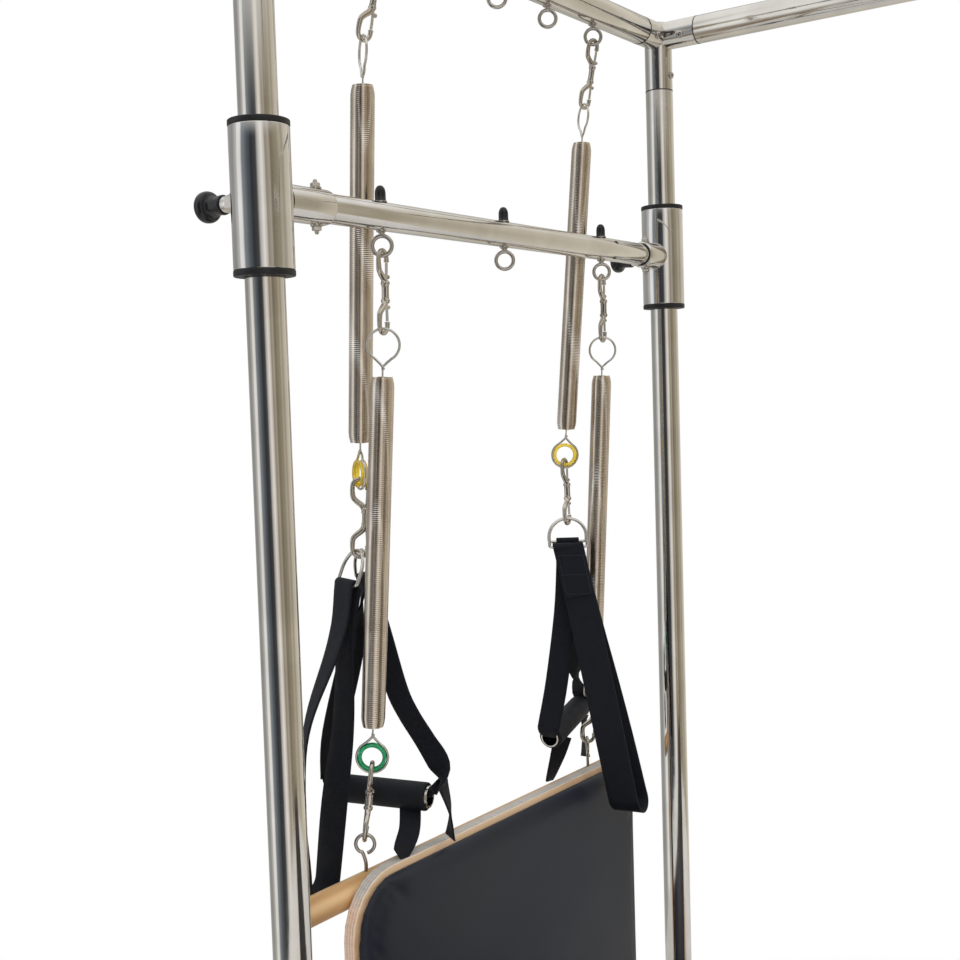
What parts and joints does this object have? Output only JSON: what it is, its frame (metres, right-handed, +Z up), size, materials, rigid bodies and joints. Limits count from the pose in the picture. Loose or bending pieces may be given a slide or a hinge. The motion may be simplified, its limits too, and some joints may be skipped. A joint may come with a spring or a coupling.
{
  "type": "pilates trapeze table",
  "caption": "Pilates trapeze table: tubular steel canopy over a padded bed, with a sliding cross bar, springs, straps, handles, a roll-down bar and a padded board.",
  "frame": {"origin": "on the floor at the middle of the footprint", "axes": "+X to the right across the table, +Y towards the head end with the springs and the padded board, +Z up"},
  "size_m": [0.88, 2.2362, 2.1157],
  "materials": {
    "polished_steel": "polished stainless steel tube and fittings",
    "spring_steel": "warm nickel-coloured spring wire",
    "black_plastic": "satin black plastic",
    "black_webbing": "woven webbing",
    "black_foam": "matte closed-cell foam",
    "black_vinyl": "black vinyl upholstery",
    "yellow_plastic": "translucent amber-yellow plastic",
    "green_plastic": "green plastic",
    "maple": "clear-lacquered pale hardwood",
    "plywood": "birch plywood, clear lacquer"
  },
  "bodies": {
    "table_frame": {"head_post_left": "polished_steel", "corner_fitting_head_left": "polished_steel", "head_post_right": "polished_steel", "corner_fitting_head_right": "polished_steel", "foot_post_left": "polished_steel", "corner_fitting_foot_left": "polished_steel", "foot_post_right": "polished_steel", "corner_fitting_foot_right": "polished_steel", "head_top_bar": "polished_steel", "foot_top_bar": "polished_steel", "long_rail_left": "polished_steel", "long_rail_right": "polished_steel", "head_frame": "maple", "foot_frame": "maple", "side_rail_left": "maple", "side_rail_right": "maple", "deck": "plywood", "mat": "black_vinyl", "board_panel": "plywood", "board_pad": "black_vinyl", "board_bracket": "polished_steel", "yellow_top_snap_left": "polished_steel", "yellow_spring_left": "spring_steel", "yellow_thimble_left": "yellow_plastic", "yellow_lower_snap_left": "polished_steel", "yellow_top_snap_right": "polished_steel", "yellow_spring_right": "spring_steel", "yellow_thimble_right": "yellow_plastic", "yellow_lower_snap_right": "polished_steel"},
    "cross_bar_carriage": {"cross_bar": "polished_steel", "eyebolt_left": "polished_steel", "eyebolt_middle": "polished_steel", "eyebolt_right": "polished_steel", "collar_left": "polished_steel", "collar_liner_left": "black_plastic", "plunger_neck_left": "polished_steel", "green_top_snap_left": "polished_steel", "green_spring_left": "spring_steel", "collar_right": "polished_steel", "collar_liner_right": "black_plastic", "plunger_neck_right": "polished_steel", "green_top_snap_right": "polished_steel", "green_spring_right": "spring_steel"},
    "roll_down_assembly": {"roll_down_bar": "maple", "green_thimble_left": "green_plastic", "green_lower_snap_left": "polished_steel", "green_thimble_right": "green_plastic", "green_lower_snap_right": "polished_steel"},
    "plunger_left_knob": {"plunger_left": "black_plastic"},
    "long_loop_left": {"loop_ring_left": "polished_steel", "strap_loop_left": "black_webbing"},
    "handle_left": {"handle_ring_left": "polished_steel", "handle_webbing_left": "black_webbing", "handle_grip_left": "black_foam"},
    "plunger_right_knob": {"plunger_right": "black_plastic"},
    "long_loop_right": {"loop_ring_right": "polished_steel", "strap_loop_right": "black_webbing"},
    "handle_right": {"handle_ring_right": "polished_steel", "handle_webbing_right": "black_webbing", "handle_grip_right": "black_foam"}
  },
  "joints": [
    {"name": "cross_bar_slide", "type": "slide", "parent": "table_frame", "child": "cross_bar_carriage", "axis": [0, 0, 1], "range_m": [-0.1, 0.02]},
    {"name": "roll_down_pull", "type": "slide", "parent": "cross_bar_carriage", "child": "roll_down_assembly", "axis": [0, 0, -1], "range_m": [0, 0.1], "stiffness_N_per_m": 120, "springref_m": -0.06, "deforming": ["green_spring_left", "green_spring_right"]},
    {"name": "plunger_left_pull", "type": "slide", "parent": "cross_bar_carriage", "child": "plunger_left_knob", "axis": [0, 1, 0], "range_m": [0, 0.008], "stiffness_N_per_m": 900, "springref_m": -0.006},
    {"name": "plunger_right_pull", "type": "slide", "parent": "cross_bar_carriage", "child": "plunger_right_knob", "axis": [0, 1, 0], "range_m": [0, 0.008], "stiffness_N_per_m": 900, "springref_m": -0.006},
    {"name": "loop_left_swing", "type": "hinge", "parent": "table_frame", "child": "long_loop_left", "pos_m": [-0.20683, 1.03655, 1.41554], "axis": [0.6212, 0.7837, 0], "range_deg": [0, 40]},
    {"name": "loop_right_swing", "type": "hinge", "parent": "table_frame", "child": "long_loop_right", "pos_m": [0.19118, 1.01658, 1.41587], "axis": [-0.5821, 0.8131, 0], "range_deg": [0, 40]},
    {"name": "handle_left_swing", "type": "hinge", "parent": "table_frame", "child": "handle_left", "pos_m": [-0.20276, 1.03332, 1.41594], "axis": [-0.6212, -0.7837, 0], "range_deg": [0, 40]},
    {"name": "handle_right_swing", "type": "hinge", "parent": "table_frame", "child": "handle_right", "pos_m": [0.19541, 1.0196, 1.41587], "axis": [0.5821, -0.8131, 0], "range_deg": [0, 40]}
  ]
}
